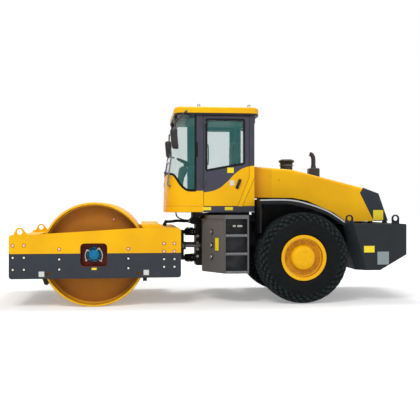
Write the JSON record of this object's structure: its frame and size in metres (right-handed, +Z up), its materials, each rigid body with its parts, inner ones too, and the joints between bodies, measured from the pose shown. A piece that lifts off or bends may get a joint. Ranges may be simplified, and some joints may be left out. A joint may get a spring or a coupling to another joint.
{
  "type": "vibratory roller",
  "caption": "Ride-on vibratory soil roller with a smooth steel drum in an articulated front frame, a cab, an engine hood and two rear tyres",
  "frame": {"origin": "on the ground below the middle of the machine", "axes": "+X to the rear, -X forwards with the drum, +Y to the machine's right, +Z up"},
  "size_m": [6.23, 2.3, 3.181],
  "materials": {
    "yellow_paint": "gloss",
    "chassis_grey": "satin",
    "cab_grey": "satin",
    "drum_steel": "worn",
    "primer_brown": "matt",
    "cab_glass": "clear",
    "tyre_rubber": "matt",
    "buffer_rubber": "matt",
    "blue_paint": "gloss",
    "black_plastic": "matt",
    "seat_fabric": "woven",
    "bright_steel": "polished",
    "engine_iron": "matt"
  },
  "bodies": {
    "rear_frame": {"rear_frame": "chassis_grey", "rear_axle": "chassis_grey", "engine_block": "engine_iron", "counterweight": "chassis_grey", "cab_floor": "chassis_grey", "cab_front_panel": "yellow_paint", "windscreen": "cab_glass", "cab_frame": "cab_grey", "rear_window": "cab_glass", "cab_roof": "yellow_paint", "work_lamps": "black_plastic", "seat_base": "black_plastic", "seat_cushions": "seat_fabric", "steering_column": "black_plastic", "fender_left": "chassis_grey", "fender_right": "chassis_grey", "step_box_left": "chassis_grey", "step_box_right": "chassis_grey", "mirror_left": "black_plastic", "mirror_right": "black_plastic", "grab_handle_left": "chassis_grey", "grab_handle_right": "chassis_grey", "box_cover_left": "chassis_grey", "box_cover_right": "chassis_grey", "corner_panel_left": "yellow_paint", "corner_panel_right": "yellow_paint", "joint_hose": "buffer_rubber", "cab_hose": "buffer_rubber"},
    "centre_yoke": {"centre_yoke": "chassis_grey"},
    "front_frame": {"frame_crossbeams": "yellow_paint", "oscillation_bearing": "chassis_grey", "scrapers": "chassis_grey", "drum_mounts": "buffer_rubber", "vibration_motors": "blue_paint", "side_plate_left": "yellow_paint", "side_plate_right": "yellow_paint", "hose_gland": "chassis_grey"},
    "drum": {"drum_shell": "drum_steel", "drum_discs": "primer_brown"},
    "wheel_left": {"tyre_left": "tyre_rubber", "rim_left": "yellow_paint"},
    "wheel_right": {"tyre_right": "tyre_rubber", "rim_right": "yellow_paint"},
    "hood": {"hood": "yellow_paint", "rear_grille": "black_plastic", "pre_cleaner": "black_plastic", "exhaust_stack": "bright_steel"},
    "door_left": {"door_left": "yellow_paint", "door_glass_left": "cab_glass"},
    "door_right": {"door_right": "yellow_paint", "door_glass_right": "cab_glass"},
    "steering_wheel": {"steering_wheel": "black_plastic"},
    "steering_barrel_left": {"steering_barrel_left": "chassis_grey"},
    "steering_barrel_right": {"steering_barrel_right": "chassis_grey"},
    "steering_rod_left": {"steering_rod_left": "bright_steel"},
    "steering_rod_right": {"steering_rod_right": "bright_steel"}
  },
  "joints": [
    {"name": "steering", "type": "hinge", "parent": "rear_frame", "child": "centre_yoke", "pos_m": [-0.315, 0, 0.885], "axis": [0, 0, 1], "range_deg": [-30, 30]},
    {"name": "oscillation", "type": "hinge", "parent": "centre_yoke", "child": "front_frame", "pos_m": [-0.495, 0, 0.885], "axis": [1, 0, 0], "range_deg": [-10, 10]},
    {"name": "drum_roll", "type": "hinge", "parent": "front_frame", "child": "drum", "pos_m": [-1.855, 0, 0.8], "axis": [0, 1, 0], "continuous": true},
    {"name": "wheel_left_roll", "type": "hinge", "parent": "rear_frame", "child": "wheel_left", "pos_m": [1.405, -0.885, 0.725], "axis": [0, 1, 0], "continuous": true},
    {"name": "wheel_right_roll", "type": "hinge", "parent": "rear_frame", "child": "wheel_right", "pos_m": [1.405, 0.885, 0.725], "axis": [0, 1, 0], "continuous": true},
    {"name": "hood_hinge", "type": "hinge", "parent": "rear_frame", "child": "hood", "pos_m": [2.989, 0, 1.306], "axis": [0, 1, 0], "range_deg": [0, 45]},
    {"name": "door_left_hinge", "type": "hinge", "parent": "rear_frame", "child": "door_left", "pos_m": [-0.149, -0.834, 2.3], "axis": [0, 0, -1], "range_deg": [0, 95]},
    {"name": "door_right_hinge", "type": "hinge", "parent": "rear_frame", "child": "door_right", "pos_m": [-0.149, 0.834, 2.3], "axis": [0, 0, 1], "range_deg": [0, 95]},
    {"name": "steering_wheel_turn", "type": "hinge", "parent": "rear_frame", "child": "steering_wheel", "pos_m": [-0.385, 0, 2.216], "axis": [0.4226, 0, 0.9063], "continuous": true},
    {"name": "steering_barrel_left_pivot", "type": "hinge", "parent": "rear_frame", "child": "steering_barrel_left", "pos_m": [0.295, -0.322, 0.885], "axis": [0, 0, 1], "range_deg": [-5, 5]},
    {"name": "steering_rod_left_slide", "type": "slide", "parent": "steering_barrel_left", "child": "steering_rod_left", "axis": [-0.9999, 0.0135, 0], "range_m": [-0.165, 0.165]},
    {"name": "steering_barrel_right_pivot", "type": "hinge", "parent": "rear_frame", "child": "steering_barrel_right", "pos_m": [0.295, 0.322, 0.885], "axis": [0, 0, 1], "range_deg": [-5, 5]},
    {"name": "steering_rod_right_slide", "type": "slide", "parent": "steering_barrel_right", "child": "steering_rod_right", "axis": [-0.9999, -0.0135, 0], "range_m": [-0.165, 0.165]}
  ],
  "couplings": [
    {"joint": "steering_barrel_left_pivot", "follows": "steering", "ratio": 0.1485},
    {"joint": "steering_rod_left_slide", "follows": "steering", "m_per_rad": -0.3051},
    {"joint": "steering_barrel_right_pivot", "follows": "steering", "ratio": 0.1485},
    {"joint": "steering_rod_right_slide", "follows": "steering", "m_per_rad": 0.3051}
  ]
}
